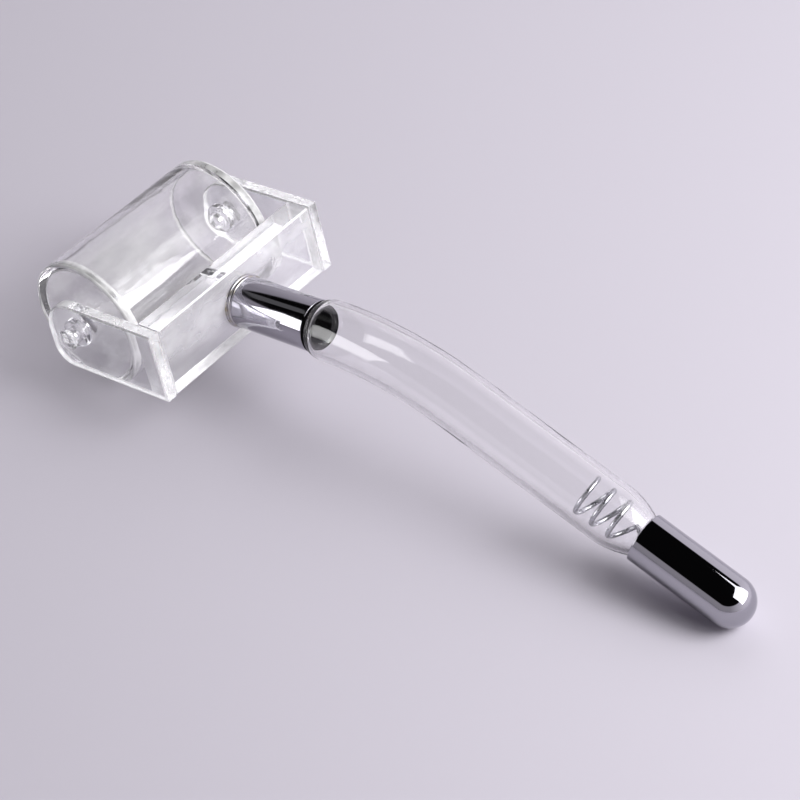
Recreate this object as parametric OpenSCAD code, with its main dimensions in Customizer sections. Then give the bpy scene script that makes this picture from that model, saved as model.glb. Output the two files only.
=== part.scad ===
// Roller electrode: a clear roller in an acrylic yoke on a bent glass stem with a plug cap.
// Millimetres. X runs from the roller to the cap, Y along the roller, Z up; the table is Z = 0.
// The stem rests on the roller and on the dome of the cap, so the tilt is worked out from the sizes.

/* [Roller] */
// outside diameter of the roller
roller_d = 32; // [26:0.5:40]
// wall of the roller tube
roller_wall = 1.8; // [1.4:0.1:2.5]
// rounding of the roller's outer edges
edge_round = 1.3; // [0.5:0.1:1.3]
// thickness of the two roller ends
roller_end_t = 2.2; // [1.8:0.1:3]

/* [Axle] */
// diameter of the axle pins
axle_d = 4; // [3:0.5:6]
// radial play of a pin in its roller end
axle_play = 0.05; // [0.02:0.01:0.09]
// depth a pin reaches into the hub of its roller end
axle_reach = 3.6; // [2.5:0.1:5]

/* [Yoke] */
// overall width of the yoke
yoke_w = 57; // [44:1:80]
// thickness of a side plate
plate_t = 3; // [2:0.5:5]
// height of the plates
plate_h = 18; // [15:0.5:24]
// thickness of the back plate
back_t = 6.5; // [5:0.5:10]
// space between the roller and the back plate
roller_gap = 5.6; // [5:0.1:10]
// space between a roller end and its side plate
side_gap = 2.5; // [1.5:0.1:4]
// distance of the nose centre behind the axle
nose_back = 1.8; // [0:0.1:5]
// rounding of the lower nose corner of the left plate
low_corner = 5; // [3:0.5:7]

/* [Screw] */
// diameter of the headless yoke screw
screw_d = 3; // [2:0.5:4]
// acrylic left behind the blind hole of the screw
hole_floor = 0.7; // [0.5:0.1:1.5]
// empty depth of the hole past the end of the screw
drill_rest = 1.6; // [0.5:0.1:2.5]

/* [Ferrule] */
// outside diameter of the ferrule
ferrule_d = 12; // [11.5:0.1:13.5]
// length of the ferrule with its base
ferrule_len = 23; // [18:0.5:30]
// wall of the ferrule
ferrule_wall = 0.6; // [0.4:0.1:0.9]
// thickness of the beaded flange at the base
flange_t = 1.8; // [1.2:0.1:2.4]
// length of the dark bead at the mouth before it meets the glass
lip_len = 0.3; // [0.2:0.1:1]

/* [Glass] */
// outside diameter of the glass stem
tube_d = 14; // [13:0.1:16]
// wall of the glass
tube_wall = 0.9; // [0.7:0.1:1.2]
// length from the ferrule mouth to the bend
straight_in = 4; // [3.6:0.1:10]
// radius of the bend
bend_radius = 85; // [40:1:120]
// angle of the bend
bend_angle = 24.8; // [15:0.1:35]
// length from the bend to the cap
straight_out = 48.4; // [38:0.1:70]
// length of the taper in front of the cap
taper_len = 9; // [5:0.5:14]
// depth of each neck in its socket
neck_depth = 9; // [6:0.5:11]

/* [Cap] */
// outside diameter of the cap
cap_d = 11.5; // [11:0.1:12]
// length of the straight part of the cap
cap_len = 22.4; // [18:0.1:30]
// wall of the cap
cap_wall = 0.6; // [0.4:0.1:0.8]
// thickness of the cement in both sockets
cement_t = 0.3; // [0.2:0.05:0.4]

/* [Coil] */
// outside diameter of the wire coil
coil_d = 9.6; // [7:0.1:9.8]
// distance between two loops
coil_pitch = 4.2; // [3.4:0.1:5]
// number of loops before the tail
coil_turns = 2.5; // [2:0.5:4]
// lean of the loops along the stem
coil_lean = 0.97; // [0:0.01:1.2]
// diameter of the wire
wire_d = 1.1; // [0.6:0.1:1.4]
// length of the tail between the coil and the cap mouth
tail_len = 5.2; // [4:0.1:8]

/* [Hidden] */
$fn = 96;

// clearance that a cutting tool runs past a face
cut = 1;
roller_r = roller_d / 2;
axle_r = axle_d / 2;
screw_r = screw_d / 2;
ferrule_r = ferrule_d / 2;
tube_r = tube_d / 2;
cap_r = cap_d / 2;
wire_r = wire_d / 2;
half_w = yoke_w / 2;
inner_half_w = half_w - plate_t;
roller_half = inner_half_w - side_gap;

// roller ends sit flush in the tube, each with a blind hub inside
end_r = roller_r - roller_wall;
end_play = 0.4;
hub_rim = 2.2;
hub_r = axle_r + hub_rim;
hub_floor = 1;
hub_bore = axle_reach + end_play;
hub_len = hub_bore + hub_floor;
edge_steps = 8;
collar_rim = 1.6;
collar_r = axle_r + collar_rim;
collar_t = side_gap - end_play;

// distances from the roller axis along the ferrule
plate_front = roller_r + roller_gap + back_t;
plate_back = plate_front - back_t;
mouth = plate_front + ferrule_len;
bend_start = mouth + straight_in;

// ferrule and cap sockets
socket_r = ferrule_r - ferrule_wall;
front_neck_r = socket_r - cement_t;
lip_inset = 0.1;
lip_r = ferrule_r - lip_inset;
bead_swell = 0.1;
bead_r = ferrule_r + bead_swell;
bead_steps = 2;
cap_bore_r = cap_r - cap_wall;
rear_neck_r = cap_bore_r - cement_t;
spigot_len = 6;
hole_depth = back_t - hole_floor;
screw_grip = hole_depth - drill_rest;
tip_t = 0.5;
bead_t = 0.3;

// the stem seal and the solder at the end of the lead
seal_t = 2.5;
lead_play = 0.05;
cap_end_t = 3;
cap_bore_depth = cap_len - cap_end_t;
solder_r = 2;
solder_t = 1.6;

// tilt that lets the roller and the dome touch the table together
arm_len = straight_out + cap_len;
run_p = bend_start + bend_radius * sin(bend_angle) + arm_len * cos(bend_angle);
run_q = bend_radius * cos(bend_angle) - bend_radius - arm_len * sin(bend_angle);
tilt = asin((cap_r - roller_r) / sqrt(run_p * run_p + run_q * run_q)) - atan2(run_q, run_p);
run_x = run_p * cos(tilt) - run_q * sin(tilt);
roller_x = (roller_r - cap_r - run_x) / 2;

// shoulder of the glass: steps of the profile
shoulder_steps = 12;
// how far the inside of the shoulder lags behind the outside
inner_lag = 0.6;

// the bent length is a hair thinner than the straight ones and laps into both
bend_step = 0.02;
bend_lap = 0.2;

// coil: rings of six sides
ring_sides = 6;
loop_rings = 24;
helix_rings = loop_rings * coil_turns;
tail_rings = 16;
coil_r = (coil_d - wire_d) / 2;
coil_start = straight_out - tail_len - coil_pitch * coil_turns;
coil_stop = straight_out - tail_len;
lead_end = straight_out + cap_bore_depth - solder_t;
free_angle = 35.5;
lean_angle = 65.6;
coil_count = helix_rings + tail_rings + 3;

function unit(v) = v / norm(v);

// angle, radius and place of the wire at ring j, where j counts from the start of the helix
function coil_angle(j) = free_angle + 360 / loop_rings * min(max(j, 0), helix_rings + tail_rings / 2);
function tail_part(j) = min(max((j - helix_rings) / tail_rings, 0), 1);
function coil_radius(j) = coil_r * (1 + cos(180 * tail_part(j))) / 2;
function coil_place(j) = coil_start + coil_pitch * min(j, helix_rings) / loop_rings
    + tail_len * tail_part(j) + coil_lean * cos(coil_angle(j) - lean_angle) * coil_radius(j) / coil_r;
function helix_point(j) = [coil_place(j), coil_radius(j) * cos(coil_angle(j)),
    coil_radius(j) * sin(coil_angle(j))];
function free_direction() = unit(helix_point(0) - helix_point(1));
function coil_point(j) = j < 0 ? helix_point(0) + free_direction() * wire_d
    : j > helix_rings + tail_rings ? [lead_end, 0, 0] : helix_point(j);
function coil_along(j) = unit(coil_point(min(j + 1, coil_count - 2)) - coil_point(max(j - 1, -1)));
function outward(j) = [0, cos(coil_angle(j)), sin(coil_angle(j))];
function across(j) = unit(outward(j) - coil_along(j) * (outward(j) * coil_along(j)));
function ring_point(j, k) = coil_point(j) + wire_r * (cos(360 * k / ring_sides) * across(j)
    + sin(360 * k / ring_sides) * cross(coil_along(j), across(j)));

// least distance between the surfaces of two loops
coil_gap = min([for (j = [0 : helix_rings]) for (k = [j + loop_rings / 2 : helix_rings + tail_rings])
    norm(coil_point(j) - coil_point(k)) - wire_d]);
echo(coil_gap = coil_gap);

// place of the front shoulder at step i, from the mouth
function shoulder_place(i) = lip_len + (straight_in - lip_len) * i / shoulder_steps;

// radius of the glass at a part of the front shoulder and of the rear taper
function shoulder_r(part) = front_neck_r + (tube_r - front_neck_r) * sqrt(1 - (1 - part) * (1 - part));
function taper_r(part) = tube_r - (tube_r - rear_neck_r) * part * part;

// frame of the yoke: origin on the roller axis, X along the ferrule
module at_yoke() {
    translate([roller_x, 0, roller_r])
        rotate([0, -tilt, 0])
            children();
}

// frame of the arm: origin at the end of the bend, X along the arm to the cap
module at_arm() {
    at_yoke()
        translate([bend_start + bend_radius * sin(bend_angle), 0, bend_radius * (cos(bend_angle) - 1)])
            rotate([0, bend_angle, 0])
                children();
}

// a cylinder along X
module rod(x, length, r) {
    translate([x, 0, 0])
        rotate([0, 90, 0])
            cylinder(h = length, r = r);
}

// a cylinder along Y
module cross_rod(y, length, r) {
    translate([0, y, 0])
        rotate([-90, 0, 0])
            cylinder(h = length, r = r);
}

// a profile of radius and place turned about X
module turned() {
    rotate([0, 90, 0])
        rotate_extrude()
            children();
}

module back_plate() {
    color("azure", 0.5)
        at_yoke()
            difference() {
                translate([plate_back, -inner_half_w, -plate_h / 2])
                    cube([back_t, 2 * inner_half_w, plate_h]);
                rod(plate_front - hole_depth, hole_depth + cut, screw_r);
            }
}

// a cheek: square at the back plate, a half round nose, and room for a fuller lower corner
module side_plate() {
    difference() {
        union() {
            translate([nose_back, 0, -plate_h / 2])
                cube([plate_front - nose_back, plate_t, plate_h]);
            translate([nose_back, 0, 0])
                cross_rod(0, plate_t, plate_h / 2);
            children();
        }
        cross_rod(-cut, plate_t + 2 * cut, axle_r);
    }
}

// the lower corner of the left nose, cut square and rounded less than the upper one
module full_corner() {
    nose_tip = nose_back - plate_h / 2;
    translate([nose_tip, 0, low_corner - plate_h / 2])
        cube([plate_h / 2, plate_t, plate_h / 2 - low_corner]);
    translate([nose_tip + low_corner, 0, -plate_h / 2])
        cube([plate_h / 2 - low_corner, plate_t, plate_h / 2]);
    translate([nose_tip + low_corner, 0, low_corner - plate_h / 2])
        cross_rod(0, plate_t, low_corner);
}

module side_plate_left() {
    color("azure", 0.5)
        at_yoke()
            translate([0, -half_w, 0])
                side_plate()
                    full_corner();
}

module side_plate_right() {
    color("azure", 0.5)
        at_yoke()
            translate([0, inner_half_w, 0])
                side_plate();
}

// a pin along Y from the outer face of its plate into the roller end
module axle_pin() {
    cross_rod(0, plate_t + side_gap + axle_reach, axle_r);
    cross_rod(plate_t, collar_t, collar_r);
}

module axle_pin_left() {
    color("lightcyan", 0.6)
        at_yoke()
            translate([0, -half_w, 0])
                axle_pin();
}

module axle_pin_right() {
    color("lightcyan", 0.6)
        at_yoke()
            translate([0, half_w, 0])
                mirror([0, 1, 0])
                    axle_pin();
}

// half section of the roller tube: radius and place along the roller
module shell_profile() {
    rounding = [for (i = [0 : edge_steps])
        [roller_r - edge_round + edge_round * sin(90 * i / edge_steps),
            edge_round - edge_round * cos(90 * i / edge_steps)]];
    near = [for (p = rounding) [p[0], p[1] - roller_half]];
    far = [for (i = [edge_steps : -1 : 0]) [rounding[i][0], roller_half - rounding[i][1]]];
    polygon(concat([[end_r, -roller_half]], near, far, [[end_r, roller_half]]));
}

module roller_shell() {
    color("white", 0.4)
        at_yoke()
            rotate([-90, 0, 0])
                rotate_extrude()
                    shell_profile();
}

// a roller end from its outer face inward: a disc with a blind hub
module roller_end() {
    difference() {
        union() {
            cross_rod(0, roller_end_t, end_r);
            cross_rod(0, hub_len, hub_r);
        }
        cross_rod(-cut, hub_bore + cut, axle_r + axle_play);
    }
}

module roller_end_left() {
    color("white", 0.5)
        at_yoke()
            translate([0, -roller_half, 0])
                roller_end();
}

module roller_end_right() {
    color("white", 0.5)
        at_yoke()
            translate([0, roller_half, 0])
                mirror([0, 1, 0])
                    roller_end();
}

module ferrule() {
    color("silver")
        at_yoke()
            difference() {
                rod(plate_front + flange_t, ferrule_len - flange_t, ferrule_r);
                rod(plate_front - cut, ferrule_len + 2 * cut, socket_r);
            }
}

module ferrule_base() {
    color("darkgoldenrod")
        at_yoke()
            difference() {
                union() {
                    rod(plate_front, flange_t, ferrule_r + bead_t);
                    rod(plate_front, flange_t + spigot_len, socket_r);
                }
                rod(plate_front - cut, flange_t + spigot_len + 2 * cut, screw_r);
            }
}

// half section of the cement: the ring in the socket, and a bead that follows the glass outside the mouth
module cement_profile() {
    against_glass = [for (i = [0 : bead_steps]) [shoulder_r(i / shoulder_steps), shoulder_place(i)]];
    polygon(concat([[front_neck_r, -neck_depth]], against_glass,
        [[bead_r, lip_len], [lip_r, 0], [socket_r, 0], [socket_r, -neck_depth]]));
}

module ferrule_cement() {
    color("black")
        at_yoke()
            translate([mouth, 0, 0])
                turned()
                    cement_profile();
}

// headless screw that joins the ferrule to the back plate, with a blunt tip in its blind hole
module yoke_screw() {
    color("dimgray")
        at_yoke() {
            rod(plate_front - screw_grip + tip_t, screw_grip - tip_t + flange_t + spigot_len, screw_r);
            translate([plate_front - screw_grip, 0, 0])
                rotate([0, 90, 0])
                    cylinder(h = tip_t, r1 = screw_r - tip_t, r2 = screw_r);
        }
}

// neck with a closed end, and the shoulder that grows to the stem
module front_profile() {
    outer = [for (i = [0 : shoulder_steps]) [shoulder_r(i / shoulder_steps), shoulder_place(i)]];
    inner = [for (i = [shoulder_steps : -1 : 0])
        [shoulder_r(i / shoulder_steps) - tube_wall,
            shoulder_place(i) + inner_lag * (1 - i / shoulder_steps)]];
    polygon(concat([[0, -neck_depth], [front_neck_r, -neck_depth]], outer, inner,
        [[front_neck_r - tube_wall, tube_wall - neck_depth], [0, tube_wall - neck_depth]]));
}

// straight leg, taper and neck with the stem seal round the lead
module rear_profile() {
    taper_start = straight_out - taper_len;
    neck_end = straight_out + neck_depth;
    seal_start = neck_end - seal_t;
    outer = [for (i = [0 : shoulder_steps])
        [taper_r(i / shoulder_steps), taper_start + taper_len * i / shoulder_steps]];
    inner = [for (i = [shoulder_steps : -1 : 0])
        [taper_r(i / shoulder_steps) - tube_wall, taper_start + taper_len * i / shoulder_steps]];
    polygon(concat([[tube_r - tube_wall, 0], [tube_r, 0]], outer,
        [[rear_neck_r, neck_end], [wire_r + lead_play, neck_end], [wire_r + lead_play, seal_start],
            [rear_neck_r - tube_wall, seal_start]], inner));
}

module bend() {
    translate([bend_start, 0, -bend_radius])
        rotate([90, 0, 0])
            rotate([0, 0, 90 - bend_angle - bend_lap])
                rotate_extrude(angle = bend_angle + 2 * bend_lap)
                    translate([bend_radius, 0])
                        difference() {
                            circle(r = tube_r - bend_step);
                            circle(r = tube_r - tube_wall + bend_step);
                        }
}

module glass_tube() {
    color("lightblue", 0.4) {
        at_yoke()
            translate([mouth, 0, 0])
                turned()
                    front_profile();
        at_yoke()
            bend();
        at_arm()
            turned()
                rear_profile();
    }
}

module electrode_coil() {
    points = [for (j = [-1 : coil_count - 2]) for (k = [0 : ring_sides - 1]) ring_point(j, k)];
    sides = [for (j = [0 : coil_count - 2]) for (k = [0 : ring_sides - 1]) for (half = [0, 1])
        half == 0
            ? [j * ring_sides + k, (j + 1) * ring_sides + k, j * ring_sides + (k + 1) % ring_sides]
            : [(j + 1) * ring_sides + k, (j + 1) * ring_sides + (k + 1) % ring_sides,
                j * ring_sides + (k + 1) % ring_sides]];
    first = [[for (k = [0 : ring_sides - 1]) k]];
    last = [[for (k = [ring_sides - 1 : -1 : 0]) (coil_count - 1) * ring_sides + k]];
    color("gainsboro")
        at_arm()
            polyhedron(points = points, faces = concat(sides, first, last));
}

module end_cap() {
    color("silver")
        at_arm()
            difference() {
                union() {
                    rod(straight_out, cap_len, cap_r);
                    translate([straight_out + cap_len, 0, 0])
                        sphere(r = cap_r);
                }
                rod(straight_out - cut, cap_bore_depth + cut, cap_bore_r);
            }
}

module cap_cement() {
    color("dimgray")
        at_arm()
            difference() {
                rod(straight_out, neck_depth, cap_bore_r);
                rod(straight_out - cut, neck_depth + 2 * cut, rear_neck_r);
            }
}

module cap_solder() {
    color("lightgray")
        at_arm()
            rod(straight_out + cap_bore_depth - solder_t, solder_t, solder_r);
}

back_plate();
side_plate_left();
side_plate_right();
axle_pin_left();
axle_pin_right();
roller_shell();
roller_end_left();
roller_end_right();
ferrule();
ferrule_base();
ferrule_cement();
yoke_screw();
glass_tube();
electrode_coil();
end_cap();
cap_cement();
cap_solder();
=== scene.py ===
"""Looks of a glass roller electrode: clear roller, acrylic yoke, bent glass stem and chrome ends."""
import math

import bpy
import bmesh
import numpy as np
from mathutils import Matrix


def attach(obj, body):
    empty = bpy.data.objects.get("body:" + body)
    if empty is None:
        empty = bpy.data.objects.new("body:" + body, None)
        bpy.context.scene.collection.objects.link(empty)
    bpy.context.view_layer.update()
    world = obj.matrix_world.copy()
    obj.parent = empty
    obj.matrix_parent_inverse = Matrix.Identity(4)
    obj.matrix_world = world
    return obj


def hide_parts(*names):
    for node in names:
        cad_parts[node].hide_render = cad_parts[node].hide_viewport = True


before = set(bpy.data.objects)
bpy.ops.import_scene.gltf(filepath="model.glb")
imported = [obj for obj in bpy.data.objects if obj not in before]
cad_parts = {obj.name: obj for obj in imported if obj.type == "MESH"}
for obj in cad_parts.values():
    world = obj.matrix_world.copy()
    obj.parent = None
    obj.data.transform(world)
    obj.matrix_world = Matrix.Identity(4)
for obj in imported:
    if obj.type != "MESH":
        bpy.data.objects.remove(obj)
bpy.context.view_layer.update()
scene = bpy.context.scene
scene.view_settings.view_transform = "Standard"

# sizes in millimetres and angles in radians, the same as in the solids
roller_r = 16.0
roller_wall = 1.8
roller_end_t = 2.2
roller_gap = 5.6
side_gap = 2.5
axle_r = 2.0
axle_play = 0.05
end_play = 0.4
collar_r = 3.6
yoke_w = 57.0
plate_t = 3.0
plate_h = 18.0
back_t = 6.5
nose_back = 1.8
low_corner = 5.0
screw_r = 1.5
hole_floor = 0.7
ferrule_r = 6.0
ferrule_len = 23.0
ferrule_wall = 0.6
flange_t = 1.8
bead_t = 0.3
spigot_len = 6.0
lip_len = 0.3
lip_inset = 0.1
bead_swell = 0.1
cement_t = 0.3
tube_r = 7.0
straight_in = 4.0
bend_radius = 85.0
bend_angle = math.radians(24.8)
straight_out = 48.4
taper_len = 9.0
neck_depth = 9.0
inner_lag = 0.6
seal_t = 2.5
lead_play = 0.05
cap_r = 5.75
cap_len = 22.4
cap_wall = 0.6
cap_end_t = 3.0
solder_t = 1.6
wire_r = 0.55
coil_r = 4.25
coil_pitch = 4.2
coil_turns = 2.5
coil_lean = 0.97
tail_len = 5.2
free_angle = math.radians(35.5)
lean_angle = math.radians(65.6)

# sizes in millimetres of the looks alone, which differ from the solids or which the solids don't have
tube_wall = 1.25
neck_round = 0.6
edge_round = 0.6
inner_round = 0.4
rim_gap = 0.05
edge_span = 5.0
seat_reach = 1.7
seat_rim = 1.2
seat_floor = 0.8
pin_play = 0.02
pin_round = 0.3
collar_gap = 0.05
knob_r = 2.7
knob_half = 0.95
knob_out = 0.65
knob_blend = 0.3
sleeve_round = 0.25
base_bead = 0.45
bead_step = 0.1
bead_rise = 0.65
wet_depth = 0.03
cap_lip_round = 0.3
bevel = 0.35
glue = 0.03

# how near a point lies to count as on a side, and a millimetre in the scene's metres
near = 0.01
millimetre = 0.001

plate_front = roller_r + roller_gap + back_t
plate_back = plate_front - back_t
mouth = plate_front + ferrule_len
half_w = yoke_w / 2
inner_half_w = half_w - plate_t
roller_half = inner_half_w - side_gap
socket_r = ferrule_r - ferrule_wall
front_neck_r = socket_r - cement_t
cap_bore_r = cap_r - cap_wall
rear_neck_r = cap_bore_r - cement_t
stem_len = straight_in + bend_radius * bend_angle + straight_out

# tilt at which the roller and the dome of the cap touch the table together
arm_len = straight_out + cap_len
run_p = mouth + straight_in + bend_radius * math.sin(bend_angle) + arm_len * math.cos(bend_angle)
run_q = bend_radius * (math.cos(bend_angle) - 1) - arm_len * math.sin(bend_angle)
tilt = math.asin((cap_r - roller_r) / math.hypot(run_p, run_q)) - math.atan2(run_q, run_p)
roller_x = (roller_r - cap_r - run_p * math.cos(tilt) + run_q * math.sin(tilt)) / 2


def yoke_place(u, y, w):
    """Point of the yoke's frame in the part's frame.

    u runs along the ferrule from the roller's axis, w is square to it, and both turn by the tilt."""
    u, y, w = np.broadcast_arrays(u, y, w)
    x = roller_x + u * math.cos(tilt) - w * math.sin(tilt)
    z = roller_r + u * math.sin(tilt) + w * math.cos(tilt)
    return np.stack([x, y, z], -1)


def stem_place(s, r, angle):
    """Point at radius r and an angle round the stem's axis, s along it from the ferrule's mouth.

    The axis is straight, then an arc down, then straight again."""
    s, r, angle = np.broadcast_arrays(s, r, angle)
    turn = np.clip((s - straight_in) / bend_radius, 0, bend_angle)
    before = np.minimum(s, straight_in)
    after = np.maximum(s - straight_in - bend_radius * bend_angle, 0)
    u = mouth + before + bend_radius * np.sin(turn) + after * math.cos(bend_angle)
    w = bend_radius * (np.cos(turn) - 1) - after * math.sin(bend_angle)
    out = r * np.sin(angle)
    return yoke_place(u + out * np.sin(turn), r * np.cos(angle), w + out * np.cos(turn))


def skin(name, points, round_v=True, finishes=(), which=None, sharp=35):
    """Mesh over a grid of points [v, u] in millimetres: u closes on itself, v too when round_v is true.

    Poles are merged and faces turned outward; which gives the finish of each row, or of each face.
    Edges sharper than an angle in degrees stay crisp."""
    merge_gap, sliver = 1e-7, 1e-8
    nv, nu = points.shape[:2]
    v = np.arange(nv if round_v else nv - 1)
    u = np.arange(nu)
    vv, uu = np.meshgrid(v, u, indexing="ij")
    a = vv * nu + uu
    b = vv * nu + (uu + 1) % nu
    c = (vv + 1) % nv * nu + (uu + 1) % nu
    d = (vv + 1) % nv * nu + uu
    quads = np.stack([a, b, c, d], -1).reshape(-1, 4)
    flat = points.reshape(-1, 3) * millimetre
    centre = flat.mean(0)
    p0, p1, p2, p3 = (flat[quads[:, i]] - centre for i in range(4))
    halves = (np.einsum("ij,ij->i", p0, np.cross(p1, p2)), np.einsum("ij,ij->i", p0, np.cross(p2, p3)))
    if (halves[0] + halves[1]).sum() < 0:
        quads = quads[:, ::-1]
    mesh = bpy.data.meshes.new(name)
    mesh.from_pydata(flat.tolist(), [], quads.tolist())
    for finish in finishes:
        mesh.materials.append(finish)
    if which is not None:
        which = np.asarray(which, dtype=np.int32).reshape(len(v), -1)
        mesh.polygons.foreach_set("material_index", np.broadcast_to(which, (len(v), nu)).ravel())
    mesh.polygons.foreach_set("use_smooth", np.ones(len(quads), dtype=bool))
    work = bmesh.new()
    work.from_mesh(mesh)
    bmesh.ops.remove_doubles(work, verts=work.verts, dist=merge_gap)
    bmesh.ops.dissolve_degenerate(work, edges=work.edges, dist=sliver)
    work.to_mesh(mesh)
    work.free()
    mesh.set_sharp_from_angle(angle=math.radians(sharp))
    piece = bpy.data.objects.new(name, mesh)
    scene.collection.objects.link(piece)
    return piece


def ring_angles(count):
    """Angles of a full turn in equal steps."""
    return np.linspace(0, 2 * np.pi, count, endpoint=False)


def turned_on_stem(name, profile, count=96, round_v=True, **more):
    """A profile of (place, radius) carried round the stem's axis."""
    profile = np.asarray(profile, float)
    points = stem_place(profile[:, :1], profile[:, 1:], ring_angles(count)[None, :])
    return skin(name, points, round_v, **more)


def turned_on_ferrule(name, profile, count=96, round_v=True, **more):
    """A profile of (place along the ferrule, radius) carried round the ferrule's axis."""
    profile = np.asarray(profile, float)
    angle = ring_angles(count)[None, :]
    points = yoke_place(profile[:, :1], profile[:, 1:] * np.cos(angle), profile[:, 1:] * np.sin(angle))
    return skin(name, points, round_v, **more)


def turned_on_roller(name, profile, count=128, round_v=True, **more):
    """A profile of (place along the roller, radius) carried round the roller's axis."""
    profile = np.asarray(profile, float)
    angle = ring_angles(count)[None, :]
    points = yoke_place(profile[:, 1:] * np.cos(angle), profile[:, :1], profile[:, 1:] * np.sin(angle))
    return skin(name, points, round_v, **more)


def rows(place, radius):
    """Profile rows of (place, radius); a single radius serves for all places."""
    return np.stack(np.broadcast_arrays(place, radius), -1).tolist()


def corner(place, radius, r, start, stop, steps=6):
    """Part of a circle of radius r about a point of a profile, from one angle to another in degrees."""
    a = np.radians(np.linspace(start, stop, steps + 1))
    return rows(place + r * np.cos(a), radius + r * np.sin(a))


# finishes
def plain(name, colour, metal=0.0, rough=0.4, **sockets):
    """One Principled shader with constant sockets."""
    finish = bpy.data.materials.new(name)
    finish.use_nodes = True
    shader = finish.node_tree.nodes["Principled BSDF"]
    shader.inputs["Base Color"].default_value = (*colour, 1)
    shader.inputs["Metallic"].default_value = metal
    shader.inputs["Roughness"].default_value = rough
    for socket, value in sockets.items():
        shader.inputs[socket.replace("_", " ")].default_value = value
    return finish


def grain(finish, scale, stretch=(1, 1, 1), detail=3.0):
    """Noise on the object's own coordinates, stretched along the axes; scale counts the lumps in a metre."""
    tree = finish.node_tree
    place = tree.nodes.new("ShaderNodeTexCoord")
    turn = tree.nodes.new("ShaderNodeMapping")
    turn.inputs["Scale"].default_value = stretch
    noise = tree.nodes.new("ShaderNodeTexNoise")
    noise.inputs["Scale"].default_value = scale
    noise.inputs["Detail"].default_value = detail
    tree.links.new(place.outputs["Object"], turn.inputs["Vector"])
    tree.links.new(turn.outputs["Vector"], noise.inputs["Vector"])
    return noise


def uneven(finish, height, **lumps):
    """Bump of a height in metres from a noise."""
    noise = grain(finish, **lumps)
    tree = finish.node_tree
    bump = tree.nodes.new("ShaderNodeBump")
    bump.inputs["Strength"].default_value = 1.0
    bump.inputs["Distance"].default_value = height
    tree.links.new(noise.outputs["Fac"], bump.inputs["Height"])
    tree.links.new(bump.outputs["Normal"], tree.nodes["Principled BSDF"].inputs["Normal"])


def wander(finish, socket, first, last, start=0.35, stop=0.7, **lumps):
    """Socket that goes from a first value to a last one while a noise rises from start to stop."""
    noise = grain(finish, **lumps)
    tree = finish.node_tree
    span = tree.nodes.new("ShaderNodeMapRange")
    for end, value in (("From Min", start), ("From Max", stop), ("To Min", first), ("To Max", last)):
        span.inputs[end].default_value = value
    tree.links.new(noise.outputs["Fac"], span.inputs["Value"])
    tree.links.new(span.outputs["Result"], tree.nodes["Principled BSDF"].inputs[socket])


def worn(finish, low, high, **lumps):
    """Roughness that wanders between two values with a noise."""
    wander(finish, "Roughness", low, high, **lumps)


def hazy(finish, low, high, **lumps):
    """Share of light that passes clear, which wanders with a noise; the rest is a pale haze."""
    wander(finish, "Transmission Weight", high, low, **lumps)


def mottled(finish, colours, **lumps):
    """Colour that wanders through a ramp with a noise; colours are (place, colour) pairs."""
    noise = grain(finish, **lumps)
    tree = finish.node_tree
    ramp = tree.nodes.new("ShaderNodeValToRGB")
    while len(ramp.color_ramp.elements) < len(colours):
        ramp.color_ramp.elements.new(0.5)
    for element, (place, colour) in zip(ramp.color_ramp.elements, colours):
        element.position = place
        element.color = (*colour, 1)
    tree.links.new(noise.outputs["Fac"], ramp.inputs["Fac"])
    tree.links.new(ramp.outputs["Color"], tree.nodes["Principled BSDF"].inputs["Base Color"])


def clear(name, colour, ior, rough, passed, weight=1.0, solid=False):
    """Clear stuff: a transmitting Principled shader.

    Light between the lamps and dull surfaces passes it straight and a little dimmed, so that shadows stay
    soft. Inside a solid block, light from dull faces is bent and thrown back at the walls instead."""
    finish = plain(name, colour, rough=rough, Transmission_Weight=weight, IOR=ior)
    tree = finish.node_tree
    bent = tree.nodes["Principled BSDF"].outputs["BSDF"]
    path = tree.nodes.new("ShaderNodeLightPath")
    through = tree.nodes.new("ShaderNodeBsdfTransparent")
    through.inputs["Color"].default_value = (passed, passed, passed, 1)

    def either(choice, first, second):
        """The second shader where choice is 1, else the first."""
        mix = tree.nodes.new("ShaderNodeMixShader")
        for link, socket in ((choice, mix.inputs["Fac"]), (first, mix.inputs[1]), (second, mix.inputs[2])):
            tree.links.new(link, socket)
        return mix.outputs["Shader"]

    straight = through.outputs["BSDF"]
    dull = straight
    if solid:
        side = tree.nodes.new("ShaderNodeNewGeometry")
        leaving = either(side.outputs["Backfacing"], straight, bent)
        dull = either(path.outputs["Transparent Depth"], leaving, straight)
    last = either(path.outputs["Is Diffuse Ray"], bent, dull)
    last = either(path.outputs["Is Shadow Ray"], last, straight)
    tree.links.new(last, tree.nodes["Material Output"].inputs["Surface"])
    return finish


# glass of the stem and of the roller, which is cloudier on its rims and over its end discs
white = (1.0, 1.0, 1.0)
stem_ior = 1.47
roller_ior = 1.38
stem_glass = clear("stem_glass", white, stem_ior, rough=0.0, passed=0.9)
uneven(stem_glass, 0.00006, scale=260, stretch=(0.2, 1, 1), detail=1.0)
roller_glass = clear("roller_glass", white, roller_ior, rough=0.0, passed=0.86)
uneven(roller_glass, 0.00012, scale=150, stretch=(1, 0.5, 1), detail=2.0)
hazy(roller_glass, 0.78, 1.0, start=0.46, stop=0.74, scale=120, stretch=(1, 0.4, 1), detail=5.0)
roller_rim = clear("roller_rim", white, roller_ior, rough=0.05, passed=0.86, weight=0.7)
uneven(roller_rim, 0.00012, scale=400, stretch=(1, 0.5, 1), detail=2.0)
hazy(roller_rim, 0.15, 0.6, scale=200, detail=4.0)
roller_seam = clear("roller_seam", white, roller_ior, rough=0.08, passed=0.86, weight=0.7)
uneven(roller_seam, 0.0002, scale=500, stretch=(1, 0.5, 1))
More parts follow.
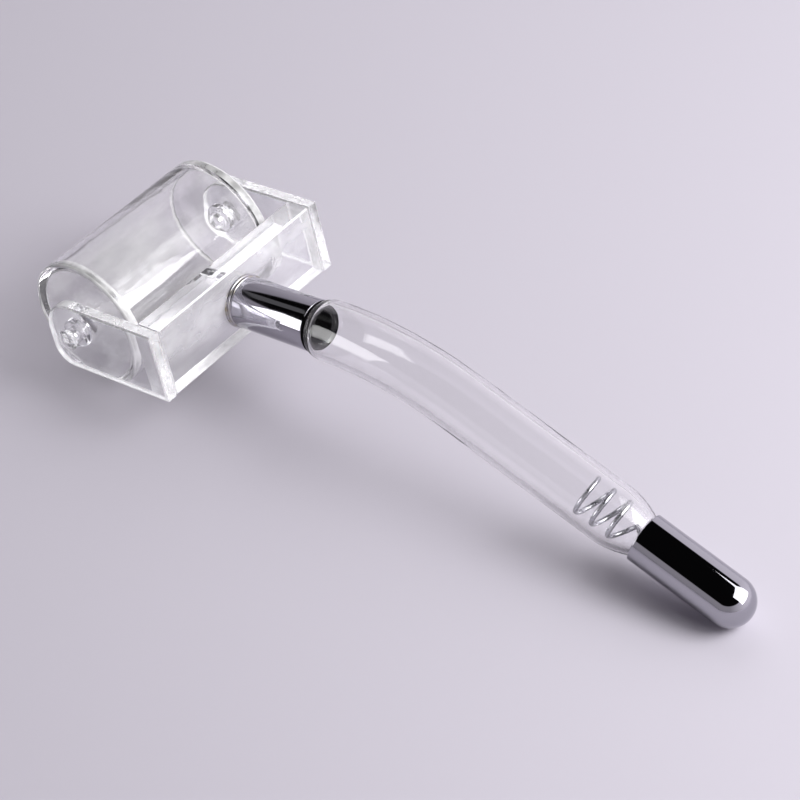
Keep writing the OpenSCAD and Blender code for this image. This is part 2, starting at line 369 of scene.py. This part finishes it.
hazy(roller_seam, 0.3, 0.8, scale=220, detail=4.0)

# acrylic: clear, milky on the bar's front, hazy on the cheeks, sawn on bevels, fused at the pins' outer ends
acrylic_ior = 1.49
cool_clear = (0.985, 0.985, 1.0)
cool_milk = (0.98, 0.975, 0.99)
cool_white = (0.99, 0.985, 1.0)
fused_clear = (0.97, 0.97, 0.98)
acrylic = clear("clear_acrylic", cool_clear, acrylic_ior, rough=0.0, passed=0.95, solid=True)
uneven(acrylic, 0.0001, scale=110, detail=2.0)
milky_acrylic = clear("milky_acrylic", cool_milk, acrylic_ior, rough=0.06, passed=0.94, weight=0.9,
                      solid=True)
uneven(milky_acrylic, 0.0002, scale=130)
hazy(milky_acrylic, 0.62, 0.95, scale=90, stretch=(1, 0.6, 1), detail=4.0)
cheek_acrylic = clear("cheek_acrylic", cool_clear, acrylic_ior, rough=0.0, passed=0.95, solid=True)
uneven(cheek_acrylic, 0.0001, scale=110, detail=2.0)
hazy(cheek_acrylic, 0.8, 1.0, scale=100, stretch=(1, 1, 0.6), detail=5.0)
edge_acrylic = clear("edge_acrylic", cool_milk, acrylic_ior, rough=0.12, passed=0.9, weight=0.9, solid=True)
uneven(edge_acrylic, 0.0002, scale=500)
hazy(edge_acrylic, 0.6, 0.95, scale=260, detail=4.0)
sawn_acrylic = clear("sawn_acrylic", cool_white, acrylic_ior, rough=0.45, passed=0.75, weight=0.2,
                     solid=True)
uneven(sawn_acrylic, 0.0002, scale=900, stretch=(1, 0.25, 1))
hazy(sawn_acrylic, 0.05, 0.4, scale=300, detail=4.0)
fused_acrylic_painted_specks = clear("fused_acrylic_painted_specks", fused_clear, acrylic_ior, rough=0.03, passed=0.8, weight=0.95)
uneven(fused_acrylic_painted_specks, 0.0012, scale=700, detail=2.0)
# the dark specks in the fused ends are painted shade, standing in for the dark glints that make them sparkle
mottled(fused_acrylic_painted_specks, [(0.0, fused_clear), (0.64, fused_clear), (0.68, (0.04, 0.04, 0.05))],
        scale=900, detail=2.0)

# metals
chrome = plain("chrome", (0.42, 0.415, 0.45), metal=1.0, rough=0.03)
worn(chrome, 0.015, 0.07, scale=300, stretch=(0.3, 1, 1), detail=5.0)
nickel = plain("dulled_plate", (0.42, 0.41, 0.455), metal=1.0, rough=0.05)
worn(nickel, 0.03, 0.12, scale=500, stretch=(0.3, 1, 1), detail=5.0)
brass = plain("plated_brass", (0.6, 0.59, 0.6), metal=1.0, rough=0.12)
mottled(brass, [(0.45, (0.5, 0.49, 0.52)), (0.6, (0.42, 0.39, 0.33)), (0.68, (0.26, 0.21, 0.08))],
        scale=520, detail=4.0)
worn(brass, 0.05, 0.3, scale=900, detail=4.0)
steel = plain("screw_steel", (0.2, 0.2, 0.21), metal=1.0, rough=0.35)
worn(steel, 0.25, 0.5, scale=1800, stretch=(0.2, 1, 1), detail=4.0)
wire = plain("coil_wire", (0.5, 0.5, 0.53), metal=1.0, rough=0.2)
worn(wire, 0.2, 0.42, scale=900, detail=4.0)
solder = plain("solder", (0.55, 0.55, 0.57), metal=1.0, rough=0.4)
worn(solder, 0.25, 0.55, scale=1500, detail=4.0)

# cements
dark_ring = plain("dark_cement", (0.01, 0.009, 0.01), rough=0.6, Specular_IOR_Level=0.0)
uneven(dark_ring, 0.00015, scale=1600)
wet_cement = plain("wet_cement", (0.004, 0.004, 0.005), rough=0.6, Specular_IOR_Level=0.0)
mottled(wet_cement, [(0.4, (0.003, 0.003, 0.004)), (0.7, (0.012, 0.011, 0.012))], scale=900)
filler = plain("cap_filler", (0.2, 0.19, 0.18), rough=0.8)
mottled(filler, [(0.3, (0.13, 0.12, 0.11)), (0.7, (0.3, 0.29, 0.27))], scale=1300, detail=4.0)

# solids that are seen as they are
kept = {"yoke_screw": steel, "cap_cement": filler, "cap_solder": solder}
for node, finish in kept.items():
    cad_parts[node].data.materials.clear()
    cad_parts[node].data.materials.append(finish)


# glass stem
def shoulder_radius(s):
    """Radius of the stem's shoulder at s from the mouth: a quarter ellipse from the neck to the full tube."""
    part = np.clip((np.asarray(s, float) - lip_len) / (straight_in - lip_len), 0, 1)
    return front_neck_r + (tube_r - front_neck_r) * np.sqrt(1 - (1 - part) ** 2)


def stem_profile():
    """Half section of the stem as one line, outside and then the inside back again.

    Closed neck, quarter-ellipse shoulder, straight run, parabolic taper, and a neck with a seal round the
    lead. The inside keeps the wall's thickness, and its shoulder lags a little behind at the neck."""
    curve_points, run_points = 25, 90
    part = np.linspace(0, 1, curve_points)
    shoulder_s = lip_len + (straight_in - lip_len) * part
    shoulder = shoulder_radius(shoulder_s)
    taper = tube_r - (tube_r - rear_neck_r) * part ** 2
    taper_s = stem_len - taper_len + taper_len * part
    run_s = np.linspace(straight_in, stem_len - taper_len, run_points)[1:-1]
    neck_end = stem_len + neck_depth
    lead_bore = wire_r + lead_play
    outer = [(-neck_depth, 0)]
    outer += corner(neck_round - neck_depth, front_neck_r - neck_round, neck_round, 180, 90)
    outer += rows(shoulder_s, shoulder) + rows(run_s, tube_r) + rows(taper_s, taper)
    outer += corner(neck_end - neck_round, rear_neck_r - neck_round, neck_round, 90, 0)
    outer += [(neck_end, lead_bore)]
    inner = rows(shoulder_s + inner_lag * (1 - part), shoulder - tube_wall)
    inner += rows(run_s, tube_r - tube_wall) + rows(taper_s, taper - tube_wall)
    inner += [(neck_end - seal_t, rear_neck_r - tube_wall), (neck_end - seal_t, lead_bore)]
    floor = tube_wall - neck_depth
    return outer + inner[::-1] + [(floor, front_neck_r - tube_wall), (floor, 0)]


stem = turned_on_stem("stem_tube", stem_profile(), round_v=False, finishes=[stem_glass])
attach(stem, "stem")
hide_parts("glass_tube")


# wire coil
def coil_line(count):
    """Centre line of the wire as (place along the stem, radius, angle).

    A helix whose loops lean along the stem; then the radius falls to the axis as half a cosine wave while
    the angle goes on for a third of a turn; then a straight lead to the solder in the cap."""
    wind_in, last_turn = 2 / 3, 1 / 3
    start = stem_len - tail_len - coil_pitch * coil_turns
    t = np.linspace(0, coil_turns + wind_in, count)
    part = np.clip((t - coil_turns) / wind_in, 0, 1)
    radius = coil_r * (1 + np.cos(np.pi * part)) / 2
    angle = free_angle + 2 * np.pi * np.minimum(t, coil_turns + last_turn)
    s = start + coil_pitch * np.minimum(t, coil_turns) + tail_len * part
    s = s + coil_lean * np.cos(angle - lean_angle) * radius / coil_r
    lead = np.array([[stem_len + cap_len - cap_end_t - solder_t, 0.0, angle[-1]]])
    return np.concatenate([np.stack([s, radius, angle], -1), lead])


def wire_tube(name, line, r, sides, **more):
    """Round tube along a line of points on the stem.

    Each ring stands square to the line, and its first spoke points away from the stem's axis."""
    centre = stem_place(line[:, 0], line[:, 1], line[:, 2])
    along = np.gradient(centre, axis=0)
    along /= np.linalg.norm(along, axis=1)[:, None]
    spoke = stem_place(line[:, 0], line[:, 1] + 1, line[:, 2]) - centre
    spoke -= along * (spoke * along).sum(1)[:, None]
    spoke /= np.linalg.norm(spoke, axis=1)[:, None]
    other = np.cross(along, spoke)
    angle = ring_angles(sides)[None, :, None]
    rings = centre[:, None] + r * (np.cos(angle) * spoke[:, None] + np.sin(angle) * other[:, None])
    first = np.repeat(centre[:1, None], sides, 1)
    last = np.repeat(centre[-1:, None], sides, 1)
    return skin(name, np.concatenate([first, rings, last]), False, **more)


coil = wire_tube("wire_coil", coil_line(count=260), wire_r, sides=16, finishes=[wire])
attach(coil, "stem")
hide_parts("electrode_coil")


# ferrule, base ring and cap
def ferrule_profile():
    """Half section of the sleeve: round-edged at both ends, with an open bore."""
    start = plate_front + flange_t
    round_r = ferrule_r - sleeve_round
    near_end = corner(start + sleeve_round, round_r, sleeve_round, 180, 90)
    far_end = corner(mouth - sleeve_round, round_r, sleeve_round, 90, 0)
    return [(start, socket_r)] + near_end + far_end + [(mouth, socket_r)]


sleeve = turned_on_ferrule("ferrule_sleeve", ferrule_profile(), finishes=[nickel])
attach(sleeve, "stem")
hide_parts("ferrule")


def base_profile():
    """Half section of the base ring: two half-round beads, and the tapped spigot inside the sleeve."""
    top = plate_front + flange_t
    rim = ferrule_r + bead_t - base_bead
    first = corner(plate_front + base_bead, rim, base_bead, 180, 0, steps=10)
    second = corner(plate_front + 3 * base_bead, rim - bead_step, base_bead, 180, 0, steps=10)
    spigot = [(top, socket_r), (top + spigot_len, socket_r), (top + spigot_len, screw_r)]
    return [(plate_front, screw_r), (plate_front, rim)] + first + second + spigot


base = turned_on_ferrule("base_ring", base_profile(), finishes=[brass])
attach(base, "stem")
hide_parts("ferrule_base")


def cap_profile():
    """Half section of the cap: the bore, a round lip, the straight wall and the half-round end."""
    end = stem_len + cap_len
    floor = end - cap_end_t
    lip = corner(stem_len + cap_lip_round, cap_r - cap_lip_round, cap_lip_round, 180, 90)
    dome = corner(end, 0.0, cap_r, 90, 0, steps=24)
    return [(floor, 0), (floor, cap_bore_r), (stem_len, cap_bore_r)] + lip + dome


cap = turned_on_stem("plug_cap", cap_profile(), round_v=False, finishes=[chrome])
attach(cap, "stem")
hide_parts("end_cap")


def mouth_rows():
    """Half section of the black cement, in two runs: the dry outside, and the side that wets the glass.

    Dry: a ring round the neck and a bead on the sleeve's mouth. Wet: back along the shoulder toward the
    mouth, a little under the glass."""
    neck = mouth - neck_depth
    ring = [(neck, front_neck_r - wet_depth), (neck, socket_r), (mouth, socket_r)]
    lip = rows(mouth + lip_len * np.array([0, 0.5, 1]), ferrule_r + np.array([-lip_inset, 0, bead_swell]))
    climb_points = 9
    climb = np.linspace(lip_len + bead_rise, lip_len, climb_points)
    return ring + lip, rows(mouth + climb, shoulder_radius(climb) - wet_depth)


dry, wetted = mouth_rows()
dark = turned_on_ferrule("mouth_ring", dry + wetted, finishes=[dark_ring, wet_cement],
                         which=[0] * len(dry) + [1] * len(wetted))
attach(dark, "stem")
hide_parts("ferrule_cement")


# acrylic plates, whose edges stay crisp past an angle in degrees
plate_crease = 25


def cheek_outline(inset, low, count=20):
    """Outline of a cheek in (u, w), drawn in by an inset.

    Square at the front, a quarter circle at the upper nose, a short upright tip, and a quarter circle of
    its own radius below."""
    half = plate_h / 2
    tip = nose_back - half
    front = plate_front - inset
    reach = half - inset
    up = np.linspace(0.5 * np.pi, np.pi, count)
    down = np.linspace(np.pi, 1.5 * np.pi, count)
    top = np.stack([np.linspace(front, nose_back, count), np.full(count, reach)], -1)
    nose = np.stack([nose_back + reach * np.cos(up), reach * np.sin(up)], -1)
    corner_r = low - inset
    lower = np.stack([tip + low + corner_r * np.cos(down), low - half + corner_r * np.sin(down)], -1)
    bottom = np.stack([np.linspace(tip + low, front, count), np.full(count, -reach)], -1)
    face = np.stack([np.full(count, front), np.linspace(-reach, reach, count)], -1)
    return np.concatenate([top[:-1], nose[:-1], lower, bottom[1:], face[1:-1]])


def bar_outline(half_long, half_high, count=16):
    """Outline of the back plate in (y, w): two sides of a rectangle, then the same turned half round."""
    along = np.linspace(-half_long, half_long, 2 * count)
    up = np.linspace(-half_high, half_high, count)
    below = np.stack([along, np.full_like(along, -half_high)], -1)
    beside = np.stack([np.full_like(up, half_long), up], -1)
    two_sides = np.concatenate([below[:-1], beside[:-1]])
    return np.concatenate([two_sides, -two_sides])


def hole_round(outline, radius):
    """Points of a round hole at the angles of an outline's points."""
    spin = np.arctan2(outline[:, 1], outline[:, 0])
    return radius * np.stack([np.cos(spin), np.sin(spin)], -1)


def side_along(values, limit):
    """Which steps of an outline lie on the straight side where a coordinate has its greatest value."""
    return np.minimum(values, np.roll(values, -1)) > limit - near


def cheek_plate(name, low, high, corner_size):
    """Cheek with a round hole: face, bevel, edge, bevel, face and hole wall carried round the outline."""
    outline, inset = cheek_outline(0.0, corner_size), cheek_outline(bevel, corner_size)
    hole = hole_round(outline, axle_r + pin_play)
    rings = [(hole, low), (inset, low), (outline, low + bevel),
             (outline, high - bevel), (inset, high), (hole, high)]
    points = np.stack([yoke_place(ring[:, 0], level, ring[:, 1]) for ring, level in rings])
    polished = side_along(outline[:, 1], plate_h / 2) | side_along(outline[:, 0], plate_front)
    # rows 1 and 3 are the bevels, and row 2 is the edge
    which = np.zeros((len(rings), len(outline)), dtype=int)
    which[[1, 3]] = 1
    which[2] = np.where(polished, 2, 1)
    finishes = [cheek_acrylic, sawn_acrylic, edge_acrylic]
    return skin(name, points, True, finishes, which, sharp=plate_crease)


def bar_plate(name):
    """Back plate with a blind screw hole, carried round the outline.

    Hole floor and wall, front, bevel, edge, bevel and back."""
    outline = bar_outline(inner_half_w, plate_h / 2)
    inset = bar_outline(inner_half_w - bevel, plate_h / 2 - bevel)
    hole = hole_round(outline, screw_r)
    pole = np.zeros_like(outline)
    floor = plate_back + hole_floor
    rings = [(pole, floor), (hole, floor), (hole, plate_front), (inset, plate_front),
             (outline, plate_front - bevel), (outline, plate_back + bevel),
             (inset, plate_back), (pole, plate_back)]
    points = np.stack([yoke_place(level, ring[:, 0], ring[:, 1]) for ring, level in rings])
    # row 2 is the front, rows 3 and 5 are the bevels, and row 4 is the edge
    which = np.zeros((len(rings) - 1, len(outline)), dtype=int)
    which[2] = 2
    which[[3, 5]] = 1
    which[4] = np.where(side_along(outline[:, 1], plate_h / 2), 0, 1)
    finishes = [acrylic, sawn_acrylic, milky_acrylic]
    return skin(name, points, False, finishes, which, sharp=plate_crease)


for side, low, high, corner_size in (("left", -half_w, -inner_half_w - glue, low_corner),
                                     ("right", inner_half_w + glue, half_w, plate_h / 2)):
    cheek = cheek_plate(f"cheek_{side}", low, high, corner_size)
    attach(cheek, "stem")
    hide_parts(f"side_plate_{side}")

bar = bar_plate("back_bar")
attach(bar, "stem")
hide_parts("back_plate")


# axle pins
def pin_profile(side):
    """Half section of a pin from its seat in the roller to its fused outer end; side is -1 or 1.

    Shank, collar, shank, and a knob that is part of an ellipse."""
    seat = roller_half - seat_reach
    collar_start = roller_half + end_play
    collar_stop = inner_half_w - collar_gap
    slim = axle_r - pin_play
    shank = [(seat, 0), (seat, axle_r - pin_round), (seat + pin_round, slim), (collar_start, slim)]
    collar = [(collar_start, collar_r - pin_round), (collar_start + pin_round, collar_r),
              (collar_stop - pin_round, collar_r), (collar_stop, collar_r - pin_round)]
    outer_shank = [(collar_stop, slim), (half_w + pin_play, slim)]
    knob_from, knob_to, knob_points = -35, 90, 18
    turn = np.radians(np.linspace(knob_from, knob_to, knob_points))
    knob = rows(half_w + knob_out + knob_half * np.sin(turn), knob_r * np.cos(turn))
    return np.asarray(shank + collar + outer_shank + knob) * (side, 1)


def ripple(angle, phase, waves):
    """Sum of sine waves round a turn; each is (height, waves in the turn, share of the phase)."""
    return sum(height * np.sin(times * angle + share * phase) for height, times, share in waves)


def lumpy_pin(name, profile, count, phase):
    """The pin's profile carried round the roller's axis.

    Past the cheek its radius and its end swell and shrink in waves round the turn."""
    angle = ring_angles(count)[None, :]
    place, radius = profile[:, :1], profile[:, 1:]
    past = np.clip((np.abs(place) - half_w) / knob_blend, 0, 1)
    wave = ripple(angle, phase, ((0.13, 2, 1), (0.09, 3, 2), (0.07, 5, -1)))
    lean = ripple(angle, phase, ((0.12, 2, -1), (0.1, 4, 1)))
    sweep = np.sign(place) * past * lean * radius / knob_r
    radius = radius * (1 + past * wave)
    points = yoke_place(radius * np.cos(angle), place + sweep, radius * np.sin(angle))
    return skin(name, points, False, finishes=[acrylic, fused_acrylic_painted_specks], which=np.abs(place[:-1]) > half_w)


knob_phase = 0.9
for side, sign in (("left", -1), ("right", 1)):
    pin = lumpy_pin(f"pin_{side}", pin_profile(sign), count=48, phase=knob_phase + sign)
    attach(pin, "stem")
    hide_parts(f"axle_pin_{side}")


# roller, and the numbers of the bands that its finishes make
glass_band, rim_band, seam_band = 0, 1, 2


def marked(profile, band):
    """Profile rows with the number of their band added."""
    return [(place, radius, band) for place, radius in profile]


def other_end(profile):
    """Marked rows of one end of the roller, mirrored to the other."""
    return [(-place, radius, band) for place, radius, band in profile]


def roller_profile():
    """Half section of the closed glass roller as rows of (place, radius, band), from axis to axis.

    Outside: blind seat, face, rounded edge, wall, and the same again. Then the hollow inside, back from
    axis to axis: a low boss that falls as half a cosine wave, the end disc and a rounded corner."""
    bore = axle_r + axle_play
    floor = roller_half - seat_reach - end_play
    rim = roller_r - edge_round
    cell = roller_half - roller_end_t
    seat = marked([(floor, 0), (floor, bore), (roller_half, bore)], glass_band)
    edge = [(roller_half, rim - rim_gap)] + corner(roller_half - edge_round, rim, edge_round, 0, 90, steps=10)
    end = seat + marked(edge, rim_band) + [(cell, roller_r, seam_band)]
    outside = other_end(end) + end[::-1]
    boss_end = floor - seat_floor
    boss_r = bore + seat_rim
    boss_flare, boss_points = 1.6, 9
    part = np.linspace(0, 1, boss_points)
    boss = rows(cell - (cell - boss_end) * (1 + np.cos(np.pi * part)) / 2, boss_r * boss_flare * part)
    inside_r = roller_r - roller_wall
    hollow_corner = corner(cell - inner_round, inside_r - inner_round, inner_round, 0, 90)
    hollow = marked(boss, glass_band) + marked(hollow_corner, rim_band)
    return outside + hollow + other_end(hollow)[::-1]


def band_between(first, second):
    """Band of the strip between two rows: rim or seam when both rows lie on the same edge, else glass."""
    same_edge = first[2] and second[2] and abs(first[0] - second[0]) < edge_span
    return max(first[2], second[2]) if same_edge else glass_band


roller_rows = roller_profile()
bands = [band_between(first, second) for first, second in zip(roller_rows, roller_rows[1:])]
roller = turned_on_roller("glass_roller", [row[:2] for row in roller_rows], round_v=False,
                          finishes=[roller_glass, roller_rim, roller_seam], which=bands)
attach(roller, "roller")
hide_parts("roller_shell", "roller_end_left", "roller_end_right")


# table
def stage_sheet(name, points, finish):
    """A sheet over an open grid of points in metres."""
    nv, nu = points.shape[:2]
    vv, uu = np.meshgrid(np.arange(nv - 1), np.arange(nu - 1), indexing="ij")
    a = vv * nu + uu
    quads = np.stack([a, a + 1, a + nu + 1, a + nu], -1).reshape(-1, 4)
    mesh = bpy.data.meshes.new(name)
    mesh.from_pydata(points.reshape(-1, 3).tolist(), [], quads.tolist())
    mesh.polygons.foreach_set("use_smooth", np.ones(len(quads), dtype=bool))
    mesh.materials.append(finish)
    sheet = bpy.data.objects.new(name, mesh)
    scene.collection.objects.link(sheet)


table_half = 4.0
table_lines = np.linspace(-table_half, table_half, 9)
table_x, table_y = np.meshgrid(table_lines, table_lines)
table_top = plain("table_top", (0.605, 0.573, 0.645), rough=0.6, Specular_IOR_Level=0.0)
worn(table_top, 0.5, 0.7, scale=40, detail=4.0)
stage_sheet("table", np.stack([table_x, table_y, np.zeros_like(table_x)], -1), table_top)


# lamps, with distances and sizes in metres and angles in degrees
def placed(right, up, back, at):
    """Matrix of a lamp or camera from the directions of its own three axes and its place."""
    return Matrix([(right[i], up[i], back[i], at[i]) for i in range(3)] + [(0, 0, 0, 1)])


def softbox(name, azimuth, elevation, distance, width, height, radiance):
    """Rectangular lamp that faces a point just above the table; its power follows from its radiance.

    The azimuth turns from -Y toward +X."""
    target = np.array([0.0, 0.0, 0.02])
    lamp = bpy.data.lights.new(name, "AREA")
    lamp.shape = "RECTANGLE"
    lamp.size = width
    lamp.size_y = height
    lamp.energy = math.pi * width * height * radiance
    holder = bpy.data.objects.new(name, lamp)
    a, e = math.radians(azimuth), math.radians(elevation)
    back = np.array([math.sin(a) * math.cos(e), -math.cos(a) * math.cos(e), math.sin(e)])
    right = np.array([math.cos(a), math.sin(a), 0.0])
    holder.matrix_world = placed(right, np.cross(back, right), back, back * distance + target)
    scene.collection.objects.link(holder)
    return holder


softbox("key_box", azimuth=115, elevation=41, distance=0.8, width=0.83, height=0.78, radiance=2.6)
softbox("key_core", azimuth=114, elevation=38, distance=0.78, width=0.36, height=0.36, radiance=10.2)
back_fill = softbox("back_fill", azimuth=215, elevation=45, distance=0.7, width=0.5, height=0.5, radiance=1.6)
back_fill.visible_glossy = False
back_fill.visible_transmission = False
side_box = softbox("side_box", azimuth=-41, elevation=13, distance=0.8, width=0.34, height=0.5, radiance=3.6)
side_box.visible_diffuse = False
softbox("grey_card", azimuth=-82, elevation=40, distance=0.8, width=0.2, height=0.2, radiance=0.14)

# surround of the table: levels of light by direction, where 1 is white
horizon_level = 0.60
rise_to_back = 0.5
rise_to_cap = 0.435
least_level = 0.45
least_lift_in_glass = 0.35
overhead_level = 0.004
overhead_lift_in_glass = 0.06
overhead_start = 0.53
overhead_stop = 0.57
overhead_slope = -0.17
share_on_dull = 0.5
surround_colour = (0.96, 0.91, 1.0, 1)


def studio_world():
    """Surround of the table: pale near the horizon, palest toward +Y and +X, and nearly black overhead.

    Rays that leave glass find its darker side lifted to a paler level, and a faint grey overhead. Metal and
    glass show it at full strength, and it lights everything else at half."""
    world = bpy.data.worlds.new("studio")
    world.use_nodes = True
    tree = world.node_tree
    look = tree.nodes.new("ShaderNodeTexCoord")
    split = tree.nodes.new("ShaderNodeSeparateXYZ")
    path = tree.nodes.new("ShaderNodeLightPath")
    tree.links.new(look.outputs["Generated"], split.inputs["Vector"])
    in_glass = path.outputs["Is Transmission Ray"]

    def step(operation, *values):
        """One Math node; values are sockets or numbers."""
        node = tree.nodes.new("ShaderNodeMath")
        node.operation = operation
        for socket, value in zip(node.inputs, values):
            if isinstance(value, float):
                socket.default_value = value
            else:
                tree.links.new(value, socket)
        return node.outputs["Value"]

    rising = step("MULTIPLY_ADD", split.outputs["Y"], rise_to_back, horizon_level)
    rising = step("MULTIPLY_ADD", split.outputs["X"], rise_to_cap, rising)
    pale = step("MAXIMUM", rising, step("MULTIPLY_ADD", in_glass, least_lift_in_glass, least_level))
    shiny = step("MAXIMUM", in_glass, path.outputs["Is Glossy Ray"])
    share = step("MULTIPLY_ADD", shiny, 1 - share_on_dull, share_on_dull)
    overhead = tree.nodes.new("ShaderNodeMapRange")
    overhead.interpolation_type = "SMOOTHSTEP"
    overhead.inputs["From Min"].default_value = overhead_start
    overhead.inputs["From Max"].default_value = overhead_stop
    height = step("MULTIPLY_ADD", split.outputs["Y"], overhead_slope, split.outputs["Z"])
    tree.links.new(height, overhead.inputs["Value"])
    blend = tree.nodes.new("ShaderNodeMix")
    tree.links.new(overhead.outputs["Result"], blend.inputs["Factor"])
    tree.links.new(pale, blend.inputs["A"])
    tree.links.new(step("MULTIPLY_ADD", in_glass, overhead_lift_in_glass, overhead_level), blend.inputs["B"])
    background = tree.nodes["Background"]
    background.inputs["Color"].default_value = surround_colour
    tree.links.new(step("MULTIPLY", blend.outputs["Result"], share), background.inputs["Strength"])
    return world


scene.world = studio_world()

# camera at the photograph's angle, placed in millimetres from the table point under the roller's middle
yaw, pitch, roll = math.radians(131.785), math.radians(44.018), math.radians(-4.441)
camera_from_roller = np.array([349.28, -309.52, 415.85])
focal_pixels = 2630.08
picture_pixels = 800.0
sensor_width = 36.0
forward = np.array([math.cos(pitch) * math.cos(yaw), math.cos(pitch) * math.sin(yaw), -math.sin(pitch)])
level = np.array([math.sin(yaw), -math.cos(yaw), 0.0])
upright = np.cross(level, forward)
right = level * math.cos(roll) + upright * math.sin(roll)
up = upright * math.cos(roll) - level * math.sin(roll)
spot = (camera_from_roller + (roller_x, 0.0, 0.0)) * millimetre
lens = bpy.data.cameras.new("camera")
lens.sensor_fit = "HORIZONTAL"
lens.sensor_width = sensor_width
lens.lens = focal_pixels * sensor_width / picture_pixels
lens.clip_start = 0.01
camera = bpy.data.objects.new("camera", lens)
camera.matrix_world = placed(right, up, -forward, spot)
scene.collection.objects.link(camera)
scene.camera = camera

bpy.context.view_layer.update()
